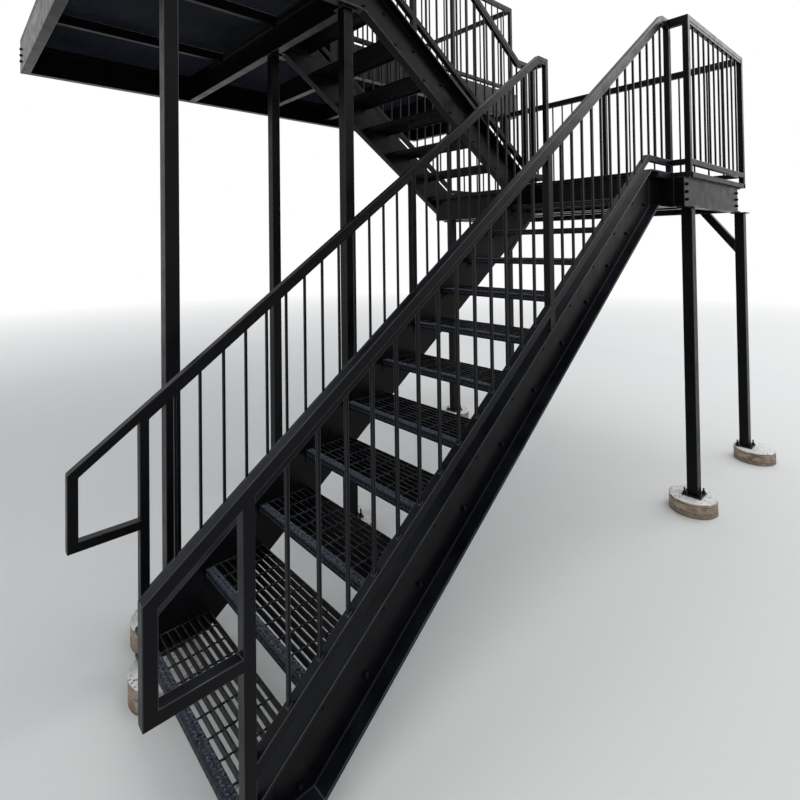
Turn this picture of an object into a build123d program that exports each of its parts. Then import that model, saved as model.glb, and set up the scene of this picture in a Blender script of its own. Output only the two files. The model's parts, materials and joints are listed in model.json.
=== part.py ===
from build123d import *
import math
import os

# An outdoor steel fire escape stair, in millimetres.
# X runs up the lower flight, +Y points to the building wall, and Z is up from the ground.
# The lower flight climbs to a landing, the upper flight turns back beside it to a platform
# in the building's corner, and a gallery runs on from the platform along the wall.

# Steps of both flights
rise = 190
lower_going = 260
lower_steps = 11
upper_going = 275.4
upper_steps = 6
lower_clear_width = 880
upper_clear_width = 932

# Bar grating treads
tread_depth = 278
end_plate_height = 65
end_plate_thickness = 5
nosing_width = 38
nosing_height = 32
nosing_thickness = 5
bar_pitch = 30
bar_thickness = 5
bar_height = 30
tread_bolt_drop = 38
tread_bolt_front = 24
tread_bolt_spacing = 178
tread_bolt_radius = 5.5

# Channels: flights, landing frame, platform and gallery frame, joists
stringer_depth = 254
stringer_above_nosing = 40
flange_width = 66
wide_flange = 80
ledger_flange = 60
flange_thickness = 11
web_thickness = 6
landing_beam_depth = 203
platform_beam_depth = 254
joist_depth = 203
joist_clearance = 0.3
bearer_depth = 76
bearer_width = 40
root_radius = 7
toe_x = -12
lower_head_x = 2900
upper_near_head_x = 1250

# Decks
deck_thickness = 35
deck_gap = 2
landing_nosing_x = 2860
deck_jog = 40
landing_overhang = 50
platform_nosing_x = 1378
upper_deck_start_x = 3010

# Guards and handrails
tube = 38
picket = 13
picket_pitch = 112
strip_depth = 19
strip_inset = 3
lower_rail_height = 940
upper_rail_height = 990
level_rail_height = 1070
upper_foot_rail_height = 1120
stair_low_rail = 155
level_low_rail = 90
guard_setback = 24.5
guard_edge = 3
loop_reach = 257
loop_bottom = 640
lower_middle_post_x = 1580
lower_end_post_gap = 10
upper_middle_post_x = 1846
upper_newel_x = 1340
upper_end_post_x = 1052

# Plan of the landing
stair_channel_x = 3090
end_channel_x = 4290
landing_face_y = -600
landing_guard_y = -627

# Plan of the upper flight, platform and gallery
upper_first_nosing_x = 3030
upper_near_y = 772
end_beam_x = 1370
platform_edge_x = -100
wing_corner_y = 1260
wall_y = 3560
gallery_gap = 2
gallery_guard_y = 1810
gallery_end_x = 4590
gallery_guard_posts_x = (2449, 3501)
platform_bearers_y = (1655, 2655)
gallery_joists_x = (2150, 2950, 3750)

# Posts, by how far each stands from the steel over it, and how far its pier is off it
post_size = 68
corner_post_inset = (83, 7)
outer_post_inset = (90, 7)
inner_post_inset = (34, 60)
tall_post_bearing = 24
near_platform_post_inset = (60, 8)
far_platform_post_inset = 20
far_platform_post_y = 1800
left_platform_post_x = 214
left_platform_post_inset = 33
corner_pier_shift = (-10, 5)
outer_pier_shift = (5, -62)
left_pier_shift = (-42, -30)
plate_size = 120
cap_size = 110
plate_thickness = 10
pier_radius = 147
pier_height = 95
pier_edge = 8
foot_plate_length = 150
foot_plate_width = 70
foot_plate_x = 85
foot_pier_x = 82
foot_pier_y = 395

# Knee braces under the landing's end channel
brace_width = 50
brace_foot = 1710
brace_cut = 100
brace_angle = 52

# Wall bolts of the ledger
ledger_bolt_radius = 9
ledger_bolt_rows = (70, 184)
ledger_bolt_margins = (300, 390)
ledger_bolt_count = 6

# Levels and faces worked out from the sizes above
landing_level = rise * (lower_steps + 1)
platform_level = landing_level + rise * (upper_steps + 1)
landing_top = landing_level - deck_thickness
landing_bottom = landing_top - landing_beam_depth
platform_top = platform_level - deck_thickness
platform_bottom = platform_top - platform_beam_depth
plate_top = pier_height + plate_thickness
lower_half = lower_clear_width / 2
lower_reach = lower_half + flange_width
upper_far_y = upper_near_y + upper_clear_width
upper_middle_y = (upper_near_y + upper_far_y) / 2
landing_far_y = upper_far_y + flange_width
gallery_edge_y = landing_far_y + gallery_gap
landing_end_x = end_channel_x + wide_flange + landing_overhang
deck_jog_x = stair_channel_x + deck_jog
lower_end_post_x = deck_jog_x + lower_end_post_gap
lower_end_x = lower_end_post_x + tube
landing_end_guard_x = landing_end_x - guard_edge - tube
upper_near_guard_y = upper_near_y - guard_setback - tube
upper_far_guard_y = upper_far_y + guard_setback
ledger_face_y = wall_y - ledger_flange


def block(x0, x1, y0, y1, z0, z1):
    """A box between two corners."""
    return Pos(x0, y0, z0) * Box(x1 - x0, y1 - y0, z1 - z0, align=(Align.MIN, Align.MIN, Align.MIN))


def prism_y(points, y0, y1):
    """An outline in X and Z, made solid between two planes across the stair."""
    outline = make_face(Polyline(*[(x, y0, z) for x, z in points], close=True))
    return extrude(outline, amount=y1 - y0, dir=(0, 1, 0))


def prism_x(points, x0, x1):
    """An outline in Y and Z, made solid between two planes along the stair."""
    outline = make_face(Polyline(*[(x0, y, z) for y, z in points], close=True))
    return extrude(outline, amount=x1 - x0, dir=(1, 0, 0))


def level_bar(axis, start, end, side, width, z0, z1):
    """A level bar along axis x or y, whose low edge across is at side."""
    if axis == "x":
        return block(start, end, side, side + width, z0, z1)
    return block(side, side + width, start, end, z0, z1)


def channel(axis, start, end, back, heading, z0, z1, width=flange_width):
    """A level channel: the web's back is at back, and the flanges point along heading, 1 or -1."""
    past = 1
    low = min(back, back + heading * width)
    inside = back + heading * web_thickness
    pocket_low = min(inside, inside + heading * width)
    body = level_bar(axis, start, end, low, width, z0, z1)
    pocket = level_bar(
        axis, start - past, end + past, pocket_low, width, z0 + flange_thickness, z1 - flange_thickness
    )
    across = Axis.Y if axis == "x" else Axis.X
    web_face = pocket.faces().sort_by(across)[0 if heading == 1 else -1]
    along = web_face.edges().filter_by(Axis.X if axis == "x" else Axis.Y)
    return body - fillet(along, root_radius)


def fuse(pieces):
    """One solid from pieces that meet."""
    return pieces[0] + pieces[1:]


def apart(pieces):
    """Like pieces that stay separate solids in one node."""
    return Compound(children=[piece.solid() for piece in pieces])


class Flight:
    """A straight flight, with the nosing line that its pieces follow."""

    def __init__(self, first_nosing_x, floor, going, steps, heading, middle_y, width):
        self.first_nosing_x = first_nosing_x
        self.floor = floor
        self.going = going
        self.steps = steps
        self.heading = heading
        self.middle_y = middle_y
        self.half = width / 2
        self.slope = rise / going
        self.stretch = math.hypot(1, self.slope)

    def height(self, x, offset=0):
        """Height at x of the nosing line, raised by offset."""
        run = (x - self.first_nosing_x) * self.heading
        return self.floor + rise + self.slope * run + offset

    def place(self, z, offset=0):
        """Where along X the nosing line, raised by offset, reaches z."""
        run = (z - self.floor - rise - offset) / self.slope
        return self.first_nosing_x + self.heading * run

    def span(self, side, inner, outer):
        """Low and high Y between two distances out from the treads' ends, on side -1 or 1."""
        edges = [self.middle_y + side * (self.half + distance) for distance in (inner, outer)]
        return min(edges), max(edges)


lower = Flight(0, 0, lower_going, lower_steps, 1, 0, lower_clear_width)
upper = Flight(
    upper_first_nosing_x, landing_level, upper_going, upper_steps, -1, upper_middle_y, upper_clear_width
)
near = -1
far = 1
upper_foot_x = upper.place(landing_level, stringer_above_nosing)
upper_start_post_x = upper_foot_x - tube
lower_near_guard_y = lower.span(near, guard_setback, guard_setback + tube)[0]
lower_far_guard_y = lower.span(far, guard_setback, guard_setback + tube)[0]
stringer_near_y = upper_near_y - flange_width

# Where the posts stand
corner_post = (stair_channel_x + corner_post_inset[0], landing_face_y + corner_post_inset[1])
outer_post = (end_channel_x + outer_post_inset[0], landing_face_y + outer_post_inset[1])
inner_post = (upper_foot_x - inner_post_inset[0], landing_far_y - inner_post_inset[1])
tall_post = (outer_post[0], gallery_edge_y + tall_post_bearing - post_size / 2)
tall_post_face_x = tall_post[0] - post_size / 2
tall_post_face_y = tall_post[1] - post_size / 2
near_platform_post = (end_beam_x - near_platform_post_inset[0], upper_near_y + near_platform_post_inset[1])
far_platform_post = (end_beam_x - far_platform_post_inset, far_platform_post_y)
left_platform_post = (left_platform_post_x, upper_near_y - left_platform_post_inset)


def stringer(flight, side, outline):
    """A sloping channel with its web against the treads and its flanges turned away from them."""
    pocket_reach = 50
    body = prism_y(outline(0, 0), *flight.span(side, 0, flange_width))
    pocket_sides = flight.span(side, web_thickness, 2 * flange_width)
    pocket = prism_y(outline(flange_thickness, pocket_reach), *pocket_sides)
    web_face = pocket.faces().sort_by(Axis.Y)[0 if side == far else -1]
    return body - fillet(web_face.edges(), root_radius)


def lower_stringer(side):
    """Plumb at toe and head, level on its foot and along the landing."""

    def outline(inset, reach):
        top = stringer_above_nosing - inset * lower.stretch
        bottom = stringer_above_nosing - (stringer_depth - inset) * lower.stretch
        toe = toe_x - reach
        head = lower_head_x + reach
        foot = plate_top + inset
        level = landing_level - inset
        return [
            (toe, foot),
            (lower.place(foot, bottom), foot),
            (head, lower.height(head, bottom)),
            (head, level),
            (lower.place(level, top), level),
            (toe, lower.height(toe, top)),
        ]

    return stringer(lower, side, outline)


def upper_stringer(side, head_x):
    """Level on the landing frame's underside, level again at the platform, and plumb at both ends."""

    def outline(inset, reach):
        top = stringer_above_nosing - inset * upper.stretch
        bottom = stringer_above_nosing - (stringer_depth - inset) * upper.stretch
        start = upper_foot_x + reach
        head = head_x - reach
        foot = landing_bottom + inset
        level = platform_level - inset
        level_bottom = platform_bottom + inset
        return [
            (start, foot),
            (upper.place(foot, bottom), foot),
            (upper.place(level_bottom, bottom), level_bottom),
            (head, level_bottom),
            (head, level),
            (upper.place(level, top), level),
            (start, upper.height(start, top)),
        ]

    return stringer(upper, side, outline)


def tread(flight, number):
    """A bar grating tread: two bolted end plates, a nosing angle and bearing bars across the stair."""
    nose = flight.first_nosing_x + flight.heading * number * flight.going
    top = flight.floor + rise * (number + 1)
    y0, y1 = flight.middle_y - flight.half, flight.middle_y + flight.half

    def across(front, back, low, high):
        x0, x1 = sorted((nose + flight.heading * front, nose + flight.heading * back))
        return block(x0, x1, y0, y1, low, high)

    pieces = [
        across(0, nosing_width, top - nosing_thickness, top),
        across(0, nosing_thickness, top - nosing_height, top),
    ]
    bars = int((tread_depth - nosing_width) // bar_pitch)
    for index in range(bars):
        back = tread_depth - index * bar_pitch
        pieces.append(across(back - bar_thickness, back, top - bar_height, top))
    x0, x1 = sorted((nose, nose + flight.heading * tread_depth))
    for edge in (y0, y1 - end_plate_thickness):
        pieces.append(block(x0, x1, edge, edge + end_plate_thickness, top - end_plate_height, top))
    body = fuse(pieces)
    for reach in (tread_bolt_front, tread_bolt_front + tread_bolt_spacing):
        drill = Pos(nose + flight.heading * reach, flight.middle_y, top - tread_bolt_drop) * Rot(90, 0, 0)
        body -= drill * Cylinder(tread_bolt_radius, 2 * flight.half + 2)
    return body


def treads(flight):
    """All treads of a flight, one solid each."""
    return apart([tread(flight, number) for number in range(flight.steps)])


def height_on(line, x):
    """Height at x of a bent line, carried straight on past its ends."""
    for (x0, z0), (x1, z1) in zip(line, line[1:]):
        if x <= x1 or (x1, z1) == line[-1]:
            return z0 + (z1 - z0) * (x - x0) / (x1 - x0)


def clip(line, x0, x1):
    """The part of a bent line between two places."""
    inside = [point for point in line if x0 < point[0] < x1]
    return [(x0, height_on(line, x0))] + inside + [(x1, height_on(line, x1))]


def lowered(line, depth):
    """The line that runs a depth below a bent line, measured square to each run, with mitred bends."""
    slopes = [(z1 - z0) / (x1 - x0) for (x0, z0), (x1, z1) in zip(line, line[1:])]
    drops = [depth * math.hypot(1, slope) for slope in slopes]
    points = [(line[0][0], line[0][1] - drops[0])]
    for index in range(1, len(slopes)):
        x, z = line[index]
        shift = (drops[index - 1] - drops[index]) / (slopes[index - 1] - slopes[index])
        points.append((x + shift, z + slopes[index] * shift - drops[index]))
    points.append((line[-1][0], line[-1][1] - drops[-1]))
    return points


def rail(line, depth, y0, y1):
    """A bar whose top edge follows a bent line."""
    return prism_y(line + lowered(line, depth)[::-1], y0, y1)


def upright(low_line, high_line, x0, x1, y0, y1):
    """A plumb bar whose ends are cut along two lines."""
    points = [
        (x0, height_on(low_line, x0)),
        (x1, height_on(low_line, x1)),
        (x1, height_on(high_line, x1)),
        (x0, height_on(high_line, x0)),
    ]
    return prism_y(points, y0, y1)


def even_places(start, end, pitch):
    """Places that divide a gap evenly at about the wanted pitch."""
    count = max(1, round((end - start) / pitch))
    return [start + (end - start) * index / count for index in range(1, count)]


def stair_guard(rail_line, low_line, seat_line, posts, y0):
    """A guard in the plane of a flight: handrail, picket strip, low rail, posts and pickets."""
    y1 = y0 + tube
    middle = (y0 + y1) / 2
    under = lowered(rail_line, tube)
    strip_under = lowered(under, strip_depth)
    pieces = [rail(rail_line, tube, y0, y1)]
    for post in posts:
        pieces.append(upright(seat_line, under, post, post + tube, y0, y1))
    for first, second in zip(posts, posts[1:]):
        start = first + tube
        pieces.append(rail(clip(under, start, second), strip_depth, y0 + strip_inset, y1 - strip_inset))
        pieces.append(rail(clip(low_line, start, second), tube, y0, y1))
        for centre in even_places(start, second, picket_pitch):
            x0, x1 = centre - picket / 2, centre + picket / 2
            pieces.append(upright(low_line, strip_under, x0, x1, middle - picket / 2, middle + picket / 2))
    return pieces


def lower_guard(side):
    """The lower flight's guard, with the handrail's closed loop below its foot."""
    y0, y1 = lower.span(side, guard_setback, guard_setback + tube)
    top = landing_level + level_rail_height
    low = landing_level + level_low_rail
    start = -loop_reach
    rail_line = [
        (start, lower.height(start, lower_rail_height)),
        (lower.place(top, lower_rail_height), top),
        (lower_end_x, top),
    ]
    low_line = [
        (0, lower.height(0, stair_low_rail)),
        (lower.place(low, stair_low_rail), low),
        (lower_end_x, low),
    ]
    seat_line = [
        (0, lower.height(0, stringer_above_nosing)),
        (lower.place(landing_level, stringer_above_nosing), landing_level),
        (lower_end_x, landing_level),
    ]
    posts = (0, lower_middle_post_x, lower_end_post_x)
    pieces = stair_guard(rail_line, low_line, seat_line, posts, y0)
    loop_line = [(start, loop_bottom), (0, loop_bottom)]
    pieces.append(upright(loop_line, lowered(rail_line, tube), start, start + tube, y0, y1))
    pieces.append(block(start + tube, 0, y0, y1, loop_bottom, loop_bottom + tube))
    return fuse(pieces)


def upper_guard(side, end_post_x):
    """The upper flight's guard, from its post on the landing up to the platform's edge."""
    y0, y1 = upper.span(side, guard_setback, guard_setback + tube)
    start = end_post_x
    end = upper_foot_x
    top = platform_level + level_rail_height
    low = platform_level + level_low_rail
    foot_top = landing_level + upper_foot_rail_height
    rail_line = [
        (upper.place(top, upper_rail_height), top),
        (upper.place(foot_top, upper_rail_height), foot_top),
        (end, foot_top),
    ]
    low_line = [
        (upper.place(low, stair_low_rail), low),
        (end, upper.height(end, stair_low_rail)),
    ]
    seat_line = [
        (upper.place(platform_level, stringer_above_nosing), platform_level),
        (end, upper.height(end, stringer_above_nosing)),
    ]
    posts = [upper_newel_x, upper_middle_post_x, upper_start_post_x]
    if start < upper_newel_x:
        posts.insert(0, start)
    for line in (rail_line, low_line, seat_line):
        if start < line[0][0]:
            line.insert(0, (start, line[0][1]))
    rail_line = clip(rail_line, start, end)
    return fuse(stair_guard(rail_line, low_line, seat_line, posts, y0))


def level_guard(axis, start, end, side, floor, posts):
    """A level guard along axis x or y, with posts at the given places and pickets between."""
    top = floor + level_rail_height
    low_top = floor + level_low_rail
    strip_bottom = top - tube - strip_depth
    inner = side + (tube - picket) / 2
    pieces = [
        level_bar(axis, start, end, side, tube, top - tube, top),
        level_bar(axis, start, end, side, tube, low_top - tube, low_top),
        level_bar(axis, start, end, side + strip_inset, tube - 2 * strip_inset, strip_bottom, top - tube),
    ]
    for post in posts:
        pieces.append(level_bar(axis, post, post + tube, side, tube, floor, top))
    edges = sorted({start, end} | set(posts) | {post + tube for post in posts})
    for first, second in zip(edges, edges[1:]):
        if first in posts:
            continue
        for centre in even_places(first, second, picket_pitch):
            place = centre - picket / 2
            pieces.append(level_bar(axis, place, place + picket, inner, picket, low_top, strip_bottom))
    return pieces


def landing_guard_near():
    """The guard over the landing's near edge, with the short jog from the lower flight's guard."""
    posts = (lower_end_post_x, landing_end_guard_x)
    jog = (landing_guard_y + tube, lower_near_guard_y)
    return fuse(
        level_guard("x", posts[0], posts[1] + tube, landing_guard_y, landing_level, posts)
        + level_guard("y", jog[0], jog[1], lower_end_post_x, landing_level, ())
    )


def landing_deck():
    """The landing's walking surface, cut back where the stringers rise past it."""
    low, high = landing_top, landing_level
    deck = block(landing_nosing_x, deck_jog_x, -lower_reach, lower_reach, low, high)
    deck += block(stair_channel_x, deck_jog_x, lower_reach, landing_far_y, low, high)
    deck += block(upper_deck_start_x, deck_jog_x, upper_near_y, upper_far_y, low, high)
    deck += block(deck_jog_x, landing_end_x, landing_guard_y, landing_far_y, low, high)
    for side in (near, far):
        y0, y1 = lower.span(side, 0, flange_width + deck_gap)
        deck -= block(landing_nosing_x - deck_gap, lower_head_x + deck_gap, y0, y1, low, high)
        y0, y1 = upper.span(side, -deck_gap, flange_width + deck_gap)
        deck -= block(upper_deck_start_x - deck_gap, upper_foot_x + deck_gap, y0, y1, low, high)
    return deck - centred(tall_post, post_size + 2 * deck_gap, post_size + 2 * deck_gap, low, high)


def platform_deck():
    """The platform's walking surface, cut back round the near stringer's head."""
    deck = block(
        platform_edge_x, platform_nosing_x, stringer_near_y, wall_y, platform_top, platform_level
    )
    for side, head_x in ((near, upper_near_head_x), (far, end_beam_x)):
        y0, y1 = upper.span(side, -deck_gap, flange_width + deck_gap)
        deck -= block(head_x - deck_gap, platform_nosing_x, y0, y1, platform_top, platform_level)
    return deck


def landing_beam(axis, start, end, back, heading, width=flange_width):
    """A channel of the landing's frame."""
    return channel(axis, start, end, back, heading, landing_bottom, landing_top, width)


def platform_beam(axis, start, end, back, heading, width=flange_width):
    """A channel of the platform's or gallery's frame."""
    return channel(axis, start, end, back, heading, platform_bottom, platform_top, width)


def joist(axis, start, end, back):
    """A lighter channel that hangs between the platform's or gallery's beams."""
    start, end = start + joist_clearance, end - joist_clearance
    return channel(axis, start, end, back, 1, platform_top - joist_depth, platform_top)


def bearer(back):
    """A small channel along the platform that stiffens its deck."""
    start = platform_edge_x + flange_width + joist_clearance
    end = end_beam_x - flange_width - joist_clearance
    return channel("x", start, end, back, 1, platform_top - bearer_depth, platform_top, bearer_width)


def wall_ledger():
    """The channel bolted to the wall, with a row of bolt holes near each flange."""
    body = platform_beam("x", platform_edge_x, gallery_end_x, wall_y, -1, ledger_flange)
    first, last = platform_edge_x + ledger_bolt_margins[0], gallery_end_x - ledger_bolt_margins[1]
    for index in range(ledger_bolt_count):
        column = first + (last - first) * index / (ledger_bolt_count - 1)
        for row in ledger_bolt_rows:
            drill = Pos(column, wall_y, platform_bottom + row) * Rot(90, 0, 0)
            body -= drill * Cylinder(ledger_bolt_radius, 3 * web_thickness)
    return body


def centred(place, width, depth, z0, z1):
    """An upright block about a place in plan."""
    x, y = place
    return block(x - width / 2, x + width / 2, y - depth / 2, y + depth / 2, z0, z1)


def post(place, top):
    """A square post on its base plate."""
    return centred(place, post_size, post_size, plate_top, top)


def base_plate(place):
    """The plate under a post."""
    return centred(place, plate_size, plate_size, pier_height, plate_top)


def foot_plate(side):
    """The plate under a lower stringer's foot."""
    place = (foot_plate_x, side * (lower_half + flange_width / 2))
    return centred(place, foot_plate_length, foot_plate_width, pier_height, plate_top)


def cap_plate(place, beam_bottom):
    """The plate on top of a post, under the frame."""
    return centred(place, cap_size, cap_size, beam_bottom - plate_thickness, beam_bottom)


def pier(place):
    """A round concrete pier with an eased top edge."""
    body = Pos(place[0], place[1], 0) * Cylinder(
        pier_radius, pier_height, align=(Align.CENTER, Align.CENTER, Align.MIN)
    )
    return chamfer(body.edges().sort_by(Axis.Z)[-1], pier_edge)


def knee_brace(place, heading):
    """A flat diagonal from a post's face up to the landing frame's underside, leaning along heading in Y."""
    x, y = place
    face = y + heading * post_size / 2
    rise_over_run = math.tan(math.radians(brace_angle))
    foot_run = (landing_bottom - brace_foot) / rise_over_run
    head_run = (landing_bottom - brace_foot - brace_cut) / rise_over_run
    points = [
        (face, brace_foot),
        (face + heading * foot_run, landing_bottom),
        (face + heading * head_run, landing_bottom),
        (face, brace_foot + brace_cut),
    ]
    start = x - post_size / 2
    return prism_x(points, start, start + brace_width)


def moved(place, shift):
    """A place moved in plan."""
    return place[0] + shift[0], place[1] + shift[1]


landing_places = (corner_post, outer_post, inner_post)
platform_places = (near_platform_post, far_platform_post, left_platform_post)
pier_places = (
    moved(corner_post, corner_pier_shift),
    moved(outer_post, outer_pier_shift),
    inner_post,
    tall_post,
    near_platform_post,
    far_platform_post,
    moved(left_platform_post, left_pier_shift),
    (foot_pier_x, -foot_pier_y),
    (foot_pier_x, foot_pier_y),
)
cross_channel = (landing_face_y + flange_width, upper_far_y)
tall_post_body = post(tall_post, platform_bottom)

nodes = {
    "lower_stringer_near": lower_stringer(near),
    "lower_stringer_far": lower_stringer(far),
    "lower_treads": treads(lower),
    "lower_guard_near": lower_guard(near),
    "lower_guard_far": lower_guard(far),
    "upper_stringer_near": upper_stringer(near, upper_near_head_x),
    "upper_stringer_far": upper_stringer(far, end_beam_x),
    "upper_treads": treads(upper),
    "upper_guard_near": upper_guard(near, upper_end_post_x),
    "upper_guard_far": upper_guard(far, upper_newel_x),
    "landing_header": landing_beam("y", -lower_half, lower_half, lower_head_x, 1),
    "landing_side_stubs": apart([
        landing_beam("x", lower_head_x, stair_channel_x, side * lower_half, side) for side in (near, far)
    ]),
    "landing_stair_channel": landing_beam("y", cross_channel[0], stringer_near_y, stair_channel_x, 1),
    "landing_riser_channel": landing_beam("y", upper_near_y, upper_far_y, stair_channel_x, 1),
    "landing_cross_channel": landing_beam("y", *cross_channel, upper_foot_x, 1),
    "landing_near_channel": landing_beam("x", stair_channel_x, end_channel_x, landing_face_y, 1),
    "landing_far_channel": landing_beam("x", upper_foot_x, end_channel_x, landing_far_y, -1),
    "landing_end_channel": landing_beam(
        "y", landing_face_y, landing_far_y, end_channel_x, 1, wide_flange
    ) - tall_post_body,
    "landing_deck": landing_deck(),
    "landing_guard_near": landing_guard_near(),
    "landing_guard_end": fuse(level_guard(
        "y", landing_guard_y + tube, tall_post_face_y, landing_end_guard_x, landing_level,
        ((landing_guard_y + tall_post_face_y) / 2,),
    )),
    "landing_guard_far": fuse(level_guard(
        "x", upper_foot_x, tall_post_face_x, upper_far_guard_y, landing_level, ()
    )),
    "landing_guard_return": fuse(level_guard(
        "y", lower_far_guard_y + tube, stringer_near_y, lower_end_post_x, landing_level,
        (stringer_near_y - tube,),
    )),
    "platform_end_beam": platform_beam("y", upper_near_y, ledger_face_y, end_beam_x, -1),
    "platform_front_beam": platform_beam("x", platform_edge_x, upper_near_head_x, upper_near_y, -1),
    "platform_side_beam": platform_beam("y", upper_near_y, ledger_face_y, platform_edge_x, 1),
    "platform_bearers": apart([bearer(y) for y in platform_bearers_y]),
    "wall_ledger": wall_ledger(),
    "gallery_front_beam": platform_beam("x", end_beam_x, gallery_end_x, gallery_edge_y, 1),
    "gallery_end_beam": platform_beam(
        "y", gallery_edge_y + flange_width, ledger_face_y, gallery_end_x, -1
    ),
    "gallery_joists": apart([
        joist("y", gallery_edge_y + flange_width, ledger_face_y, x) for x in gallery_joists_x
    ]),
    "platform_deck": platform_deck(),
    "gallery_deck": block(
        platform_nosing_x, gallery_end_x, gallery_edge_y, wall_y, platform_top, platform_level
    ),
    "platform_guard_front": fuse(level_guard(
        "x", platform_edge_x, upper_end_post_x, upper_near_guard_y, platform_level, (platform_edge_x,)
    )),
    "platform_guard_side": fuse(level_guard(
        "y", upper_near_guard_y + tube, wing_corner_y, platform_edge_x, platform_level,
        (wing_corner_y - tube,),
    )),
    "gallery_guard_front": fuse(level_guard(
        "x", platform_nosing_x, gallery_end_x, gallery_guard_y, platform_level,
        (platform_nosing_x,) + gallery_guard_posts_x + (gallery_end_x - tube,),
    )),
    "gallery_guard_end": fuse(level_guard(
        "y", gallery_guard_y + tube, wall_y, gallery_end_x - tube, platform_level, (wall_y - tube,)
    )),
    "landing_posts": apart([post(place, landing_bottom - plate_thickness) for place in landing_places]),
    "tall_post": tall_post_body,
    "platform_posts": apart([post(place, platform_bottom - plate_thickness) for place in platform_places]),
    "base_plates": apart(
        [base_plate(place) for place in landing_places + (tall_post,) + platform_places]
        + [foot_plate(side) for side in (near, far)]
    ),
    "cap_plates": apart(
        [cap_plate(place, landing_bottom) for place in landing_places]
        + [cap_plate(place, platform_bottom) for place in platform_places]
    ),
    "concrete_piers": apart([pier(place) for place in pier_places]),
    "knee_braces": apart([knee_brace(outer_post, 1), knee_brace(tall_post, -1)]),
}

# The finished stair is moved so that its origin lies under the middle of its outline, on the ground
whole = Compound(children=[solid for piece in nodes.values() for solid in piece.solids()])
low, high = whole.bounding_box().min, whole.bounding_box().max
to_origin = Pos(-(low.X + high.X) / 2, -(low.Y + high.Y) / 2, -low.Z)

os.makedirs("parts", exist_ok=True)
for name, piece in nodes.items():
    export_step(to_origin * piece, f"parts/{name}.step")
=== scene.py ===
import json
import math
import random

import bmesh
import bpy
from mathutils import Matrix, Vector, noise
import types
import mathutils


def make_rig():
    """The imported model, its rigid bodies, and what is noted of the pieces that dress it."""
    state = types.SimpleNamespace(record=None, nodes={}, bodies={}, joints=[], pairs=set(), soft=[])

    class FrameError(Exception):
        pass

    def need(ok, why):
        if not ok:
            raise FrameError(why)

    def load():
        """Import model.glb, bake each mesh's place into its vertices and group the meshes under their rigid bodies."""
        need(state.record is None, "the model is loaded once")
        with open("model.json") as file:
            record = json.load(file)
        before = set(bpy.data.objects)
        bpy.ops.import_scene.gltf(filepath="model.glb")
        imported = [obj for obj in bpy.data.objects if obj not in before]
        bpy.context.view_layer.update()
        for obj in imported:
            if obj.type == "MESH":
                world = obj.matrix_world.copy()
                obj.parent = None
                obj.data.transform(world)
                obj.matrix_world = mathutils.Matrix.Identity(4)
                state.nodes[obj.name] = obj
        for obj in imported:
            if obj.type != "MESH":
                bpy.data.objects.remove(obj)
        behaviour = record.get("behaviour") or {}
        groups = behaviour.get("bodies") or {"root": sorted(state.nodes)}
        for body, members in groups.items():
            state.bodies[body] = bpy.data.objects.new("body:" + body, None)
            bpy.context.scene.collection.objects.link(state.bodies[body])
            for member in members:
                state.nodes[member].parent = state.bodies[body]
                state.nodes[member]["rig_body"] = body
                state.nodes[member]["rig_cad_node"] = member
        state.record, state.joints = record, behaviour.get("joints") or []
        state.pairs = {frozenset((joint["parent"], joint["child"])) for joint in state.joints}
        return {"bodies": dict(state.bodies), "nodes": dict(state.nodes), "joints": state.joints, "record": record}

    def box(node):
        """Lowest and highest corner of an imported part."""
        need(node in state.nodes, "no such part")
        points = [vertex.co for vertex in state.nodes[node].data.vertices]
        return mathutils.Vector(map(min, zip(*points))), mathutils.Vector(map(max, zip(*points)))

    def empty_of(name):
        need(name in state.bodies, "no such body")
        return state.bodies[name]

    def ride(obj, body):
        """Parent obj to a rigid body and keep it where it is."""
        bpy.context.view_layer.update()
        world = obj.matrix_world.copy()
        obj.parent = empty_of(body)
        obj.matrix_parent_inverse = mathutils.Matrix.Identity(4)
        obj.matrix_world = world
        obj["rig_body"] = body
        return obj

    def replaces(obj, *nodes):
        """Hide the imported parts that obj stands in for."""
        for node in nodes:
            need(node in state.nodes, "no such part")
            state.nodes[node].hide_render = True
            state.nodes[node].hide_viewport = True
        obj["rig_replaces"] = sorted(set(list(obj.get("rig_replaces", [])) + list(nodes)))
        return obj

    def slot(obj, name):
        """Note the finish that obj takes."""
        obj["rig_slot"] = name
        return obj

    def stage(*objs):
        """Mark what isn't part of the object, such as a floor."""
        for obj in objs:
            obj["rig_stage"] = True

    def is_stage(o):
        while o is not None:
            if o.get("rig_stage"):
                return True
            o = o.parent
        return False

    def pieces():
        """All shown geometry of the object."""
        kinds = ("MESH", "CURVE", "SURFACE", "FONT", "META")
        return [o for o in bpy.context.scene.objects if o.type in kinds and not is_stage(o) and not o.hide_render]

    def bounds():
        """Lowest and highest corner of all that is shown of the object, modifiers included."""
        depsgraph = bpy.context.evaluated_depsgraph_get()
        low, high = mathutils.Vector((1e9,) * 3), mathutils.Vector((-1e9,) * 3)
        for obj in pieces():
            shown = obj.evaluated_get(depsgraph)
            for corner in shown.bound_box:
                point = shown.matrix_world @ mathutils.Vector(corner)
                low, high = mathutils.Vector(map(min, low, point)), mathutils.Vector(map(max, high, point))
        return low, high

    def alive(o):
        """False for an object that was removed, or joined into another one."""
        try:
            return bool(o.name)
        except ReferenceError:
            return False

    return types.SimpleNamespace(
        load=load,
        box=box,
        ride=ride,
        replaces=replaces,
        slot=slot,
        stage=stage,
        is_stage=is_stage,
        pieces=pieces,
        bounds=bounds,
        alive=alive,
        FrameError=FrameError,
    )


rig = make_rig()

# Sizes are in metres. X runs up the lower flight, +Y points to the building wall and Z is up.
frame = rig.load()
cad_low, cad_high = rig.bounds()

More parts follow.
